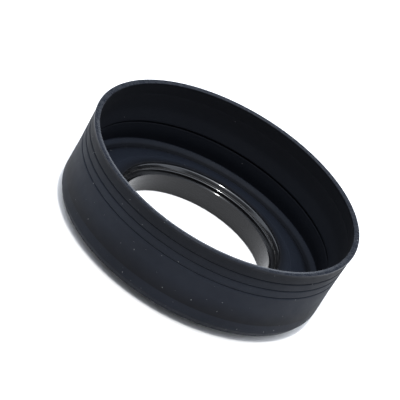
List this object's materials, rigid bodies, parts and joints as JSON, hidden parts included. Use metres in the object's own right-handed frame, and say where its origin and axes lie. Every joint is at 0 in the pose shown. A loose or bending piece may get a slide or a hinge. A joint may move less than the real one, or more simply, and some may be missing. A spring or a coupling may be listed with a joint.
{
  "type": "lens hood",
  "caption": "Round collapsible rubber lens hood on a screw-in metal filter ring, with a folding floor and an outer wall that pulls forward.",
  "frame": {"origin": "centre of the mount ring's rear face, on the optical axis, where the hood rests on a table", "axes": "+Z along the optical axis, forwards from the lens towards the rim; the hood is round, so X and Y are free"},
  "size_m": [0.0816, 0.0816, 0.0262],
  "materials": {
    "mount_metal": "satin black anodised, turned",
    "ring_gloss": "gloss black enamel",
    "rubber": "matt black moulded rubber with a faint sheen"
  },
  "bodies": {
    "mount": {"mount_ring": "mount_metal", "front_ring": "ring_gloss", "rubber_collar": "rubber", "floor_web": "rubber"},
    "middle_stage": {"middle_wall": "rubber", "fold_web": "rubber"},
    "front_stage": {"front_wall": "rubber"}
  },
  "joints": [
    {"name": "middle_slide", "type": "slide", "parent": "mount", "child": "middle_stage", "axis": [0, 0, 1], "range_m": [0, 0.006], "deforming": ["floor_web"]},
    {"name": "front_slide", "type": "slide", "parent": "middle_stage", "child": "front_stage", "axis": [0, 0, 1], "range_m": [0, 0.018], "deforming": ["fold_web"]}
  ]
}
